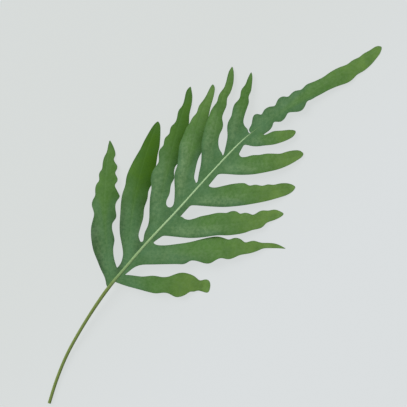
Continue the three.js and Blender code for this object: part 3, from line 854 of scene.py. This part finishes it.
underFinish = {
    "base": tone(112, 148, 106),
    "middle": tone(110, 147, 92),
    "tip": tone(124, 152, 84),
    # a darker green towards the tips, also painted shade on one half of a lobe
    "deep": tone(98, 134, 78),
    "dark": tone(92, 130, 78),
    # the pale colour of the painted sheen, in part a waxy bloom
    "hazy": tone(140, 168, 128),
    "vein": tone(158, 182, 130),
    # a darker rim along the margin: painted shade standing for a downturned edge
    "rim": tone(84, 116, 66),
    # the colour of the painted shade near the lobes' bases
    "shade": tone(76, 108, 70),
    "patches": 0.3,
    "speckle": 0.15,
    "veins": 0.5,
    "rimWidth": 0.9,
    "rimShare": 0.5,
    "roughness": 0.55,
    "roughnessSpread": 0.15,
    "specular": 0.25,
    "bump": 0.5,
    "midveinRelief": 1,
    "sideRelief": 0.4,
    "netRelief": 0.15,
    "grainRelief": 0,
}


# shared by the leaf's two faces
leafPattern = {
    "patchScale": 70,           # per metre
    "speckleScale": 330,
    "middleAt": 0.35,           # the yellowing at which each colour is full
    "tipAt": 1.2,
    # the yellowing below 0 at which the painted shade is full
    "shadeAt": -1.6,
    "hazeFrom": (0.8, 5),       # mm from the margin, from none to full
    "hazeGrain": 0.5,
    "hazeLeast": 0.25,
    "sideVeins": 0.4,           # their strength beside the midvein's
    "rimFull": 0.1,             # mm from the margin
}


def leafColour(tree, place, finish):
    # base to tip with painted shade near the bases, patches, haze of painted sheen and bloom, veins
    # and a rim of painted shade
    way = fromMap(tree, "leafWay")
    yellowingAndShade, margin = parts(tree, fromMap(tree, "leafTint"))
    deep, haze = parts(tree, fromMap(tree, "leafAge"))
    pattern = leafPattern
    clouds = placeGroup(tree, cloudGroup, Place=place, Patch=pattern["patchScale"],
                        Speckle=pattern["speckleScale"])
    veins = placeGroup(tree, veinGroup, Way=way, Place=place, Spacing=frond["veinSpacing"],
                       Slant=frond["veinSlant"])
    colour = finish["base"]
    # yellowing below 0 mixes in the painted shade colour
    for first, last, name in ((0.0, pattern["middleAt"], "middle"), (0.0, pattern["shadeAt"], "shade"),
                              (pattern["middleAt"], pattern["tipAt"], "tip")):
        colour = mixed(tree, fadeBetween(tree, yellowingAndShade, first, last), colour, finish[name])
    colour = mixed(tree, deep, colour, finish["deep"])
    colour = mixed(tree, maths(tree, "MULTIPLY", clouds["Tone"], finish["patches"]), colour, finish["dark"])
    # painted sheen, in part a waxy bloom, kept off the margin, with the leaf's real fine speckle added
    sheenAndBloom = maths(tree, "MULTIPLY_ADD", clouds["Fine"], pattern["hazeGrain"], pattern["hazeLeast"])
    sheenAndBloom = maths(tree, "MULTIPLY", sheenAndBloom, haze)
    sheenAndBloom = maths(tree, "MULTIPLY", sheenAndBloom, fadeBetween(tree, margin, *pattern["hazeFrom"]))
    grain = maths(tree, "MULTIPLY", clouds["Fine"], maths(tree, "SUBTRACT", 1, deep, clamp=True))
    sheenAndBloom = maths(tree, "ADD", sheenAndBloom, maths(tree, "MULTIPLY", grain, finish["speckle"]))
    colour = mixed(tree, sheenAndBloom, colour, finish["hazy"])
    sideVeins = maths(tree, "MULTIPLY", veins["Sides"], finish["veins"] * pattern["sideVeins"])
    faint = maths(tree, "MULTIPLY", veins["Midvein"], finish["veins"])
    colour = mixed(tree, maths(tree, "ADD", faint, sideVeins, clamp=True), colour, finish["vein"])
    # the rim: painted shade along the margin, where a downturned edge would fall darker
    rim = fadeBetween(tree, margin, finish["rimWidth"], pattern["rimFull"])
    colour = mixed(tree, maths(tree, "MULTIPLY", rim, finish["rimShare"]), colour, finish["rim"])
    return colour, clouds, veins


def makeLeafFace(name, finish):
    material, tree, shader, place = newMaterial(name, finish["specular"])
    colour, clouds, veins = leafColour(tree, place, finish)
    relief = maths(tree, "MULTIPLY", clouds["Fine"], finish["grainRelief"])
    for output, height in (("Midvein", "midveinRelief"), ("Sides", "sideRelief"), ("Net", "netRelief")):
        relief = maths(tree, "MULTIPLY_ADD", veins[output], finish[height], relief)
    finishShader(tree, shader, colour, relief, clouds["Fine"], finish)
    return material


stalkFinish = {
    "stalk": tone(97, 113, 45),
    "ribLow": tone(116, 146, 92),
    "ribMiddle": tone(166, 196, 148),
    "ribTip": tone(86, 124, 72),
    "streak": tone(160, 182, 126),
    "shade": tone(88, 104, 44),
    "ribFrom": -124,            # mm along, where olive gives way to green, then to the pale rib
    "ribTo": -98,
    "paleFrom": -115,
    "paleTo": 5,
    "tipFrom": 80,              # and where that gives way to the green of the end lobe
    "tipTo": 102,
    "fibreStretch": (0.05, 2.2, 1),     # along the stalk and round it
    "fibreScale": 3,
    "fibreDetail": 4,
    "fibreFade": (0.3, 0.7),
    "fibreShare": 0.22,
    "patchScale": 60,
    "speckleScale": 500,
    "speckleShare": 0.2,
    "fibreRelief": 0.2,
    "speckleRelief": 0.05,
    "roughness": 0.5,
    "roughnessSpread": 0.12,
    "specular": 0.2,
    "bump": 0.4,
}


def makeStalkAndRib():
    finish = stalkFinish
    material, tree, shader, place = newMaterial("stalkAndRib", finish["specular"])
    way = fromMap(tree, "leafWay")
    along = parts(tree, way)[0]
    colour = finish["stalk"]
    for part, name in (("rib", "ribLow"), ("pale", "ribMiddle"), ("tip", "ribTip")):
        share = fadeBetween(tree, along, finish[part + "From"], finish[part + "To"])
        colour = mixed(tree, share, colour, finish[name])
    stretch = tree.nodes.new("ShaderNodeMapping")
    stretch.inputs["Scale"].default_value = finish["fibreStretch"]
    tree.links.new(way, stretch.inputs["Vector"])
    fibres = noise(tree, stretch.outputs["Vector"], finish["fibreScale"], finish["fibreDetail"])
    fibres = fadeBetween(tree, fibres, *finish["fibreFade"])
    clouds = placeGroup(tree, cloudGroup, Place=place, Patch=finish["patchScale"],
                        Speckle=finish["speckleScale"])
    speckle = clouds["Fine"]
    colour = mixed(tree, maths(tree, "MULTIPLY", fibres, finish["fibreShare"]), colour, finish["streak"])
    colour = mixed(tree, maths(tree, "MULTIPLY", speckle, finish["speckleShare"]), colour, finish["shade"])
    relief = maths(tree, "MULTIPLY", fibres, finish["fibreRelief"])
    relief = maths(tree, "MULTIPLY_ADD", speckle, finish["speckleRelief"], relief)
    finishShader(tree, shader, colour, relief, speckle, finish)
    return material


materials = [
    makeLeafFace("leafUpper", leafFinish), makeLeafFace("leafUnder", underFinish), makeStalkAndRib(),
]
print("materials made")

bladeMesh = buildSurface()
shapeSurface(bladeMesh)
drawPatterns(bladeMesh)
print("leaf shaped,", len(bladeMesh.faces), "faces")
blade = newObject(bladeMesh, "blade", materials)
thicken = blade.modifiers.new("thicken", "SOLIDIFY")
thicken.thickness = frond["leafThickness"]
thicken.offset = 0
thicken.material_offset = 1         # the underside takes the second material
stalkMesh = buildStalk()
for face in stalkMesh.faces:
    face.material_index = 2         # the stalk and rib take the third
rib = newObject(stalkMesh, "rib", materials)
join = blade.modifiers.new("join", "BOOLEAN")
join.operation = "UNION"
join.solver = "EXACT"
join.object = rib

bm = bmesh.new()
bm.from_mesh(appliedMesh(blade))
bmesh.ops.remove_doubles(bm, verts=bm.verts, dist=frond["joinWeld"])
bmesh.ops.dissolve_degenerate(bm, dist=frond["joinWeld"], edges=bm.edges)
for face in bm.faces:
    face.smooth = True
for edge in bm.edges:
    if len(edge.link_faces) == 2:
        edge.smooth = edge.calc_face_angle() < math.radians(frond["creaseAngle"])
placeInFrame(bm)
print("joined,", len(bm.faces), "faces,", sum(1 for e in bm.edges if not e.is_manifold), "open edges")
frondPiece = newObject(bm, "fernLeaf", materials)
for spare in (blade, rib):
    bpy.data.objects.remove(spare)
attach(frondPiece, "root")
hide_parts("fern_frond")

studio = {
    "floorSize": 6,
    "floorColour": tone(72, 73, 74),
    "floorSpecular": 0.1,
    "floorWarm": tone(205, 208.7, 206.6),   # the floor is a lit panel, so shadows on it are faint
    "floorCool": tone(208.5, 212.2, 213),
    "warmUntil": 0.1,                       # metres along Y, where the warm tone gives way to the cool one
    "coolFrom": -0.16,
    "floorRoughness": 0.85,
    "sunStrength": 2.95,
    "sunSpread": 36,                        # degrees, the softness of the shadows
    "sunHeight": 42,                        # degrees above the floor
    "sunTurn": 100,                         # degrees from the frond's +X, where the light comes from
    "skyColour": tone(238, 242, 246),
    "skyStrength": 0.5,
}


def makeFloor():
    material, tree, shader, place = newMaterial("paleFloor", studio["floorSpecular"])
    cooling = fadeBetween(tree, parts(tree, place)[1], studio["warmUntil"], studio["coolFrom"])
    colour = mixed(tree, cooling, studio["floorWarm"], studio["floorCool"])
    tree.links.new(colour, shader.inputs["Emission Color"])
    shader.inputs["Emission Strength"].default_value = 1
    shader.inputs["Base Color"].default_value = studio["floorColour"]
    shader.inputs["Roughness"].default_value = studio["floorRoughness"]
    bm = bmesh.new()
    bmesh.ops.create_grid(bm, x_segments=2, y_segments=2, size=studio["floorSize"] / 2)
    floor = newObject(bm, "floor", [material])


def makeLight():
    lamp = bpy.data.lights.new("softLight", "SUN")
    lamp.energy = studio["sunStrength"]
    lamp.angle = math.radians(studio["sunSpread"])
    light = bpy.data.objects.new("softLight", lamp)
    bpy.context.collection.objects.link(light)
    height, turn = math.radians(studio["sunHeight"]), math.radians(studio["sunTurn"])
    level = Vector((math.cos(turn), math.sin(turn), 0))
    source = level * math.cos(height) + Vector((0, 0, math.sin(height)))
    light.rotation_euler = source.to_track_quat("Z", "Y").to_euler()
    world = bpy.data.worlds.new("paleRoom")
    world.use_nodes = True
    world.node_tree.nodes["Background"].inputs["Color"].default_value = studio["skyColour"]
    world.node_tree.nodes["Background"].inputs["Strength"].default_value = studio["skyStrength"]
    bpy.context.scene.world = world
    bpy.context.scene.view_settings.view_transform = "Standard"


makeFloor()
makeLight()
print("floor and light placed")
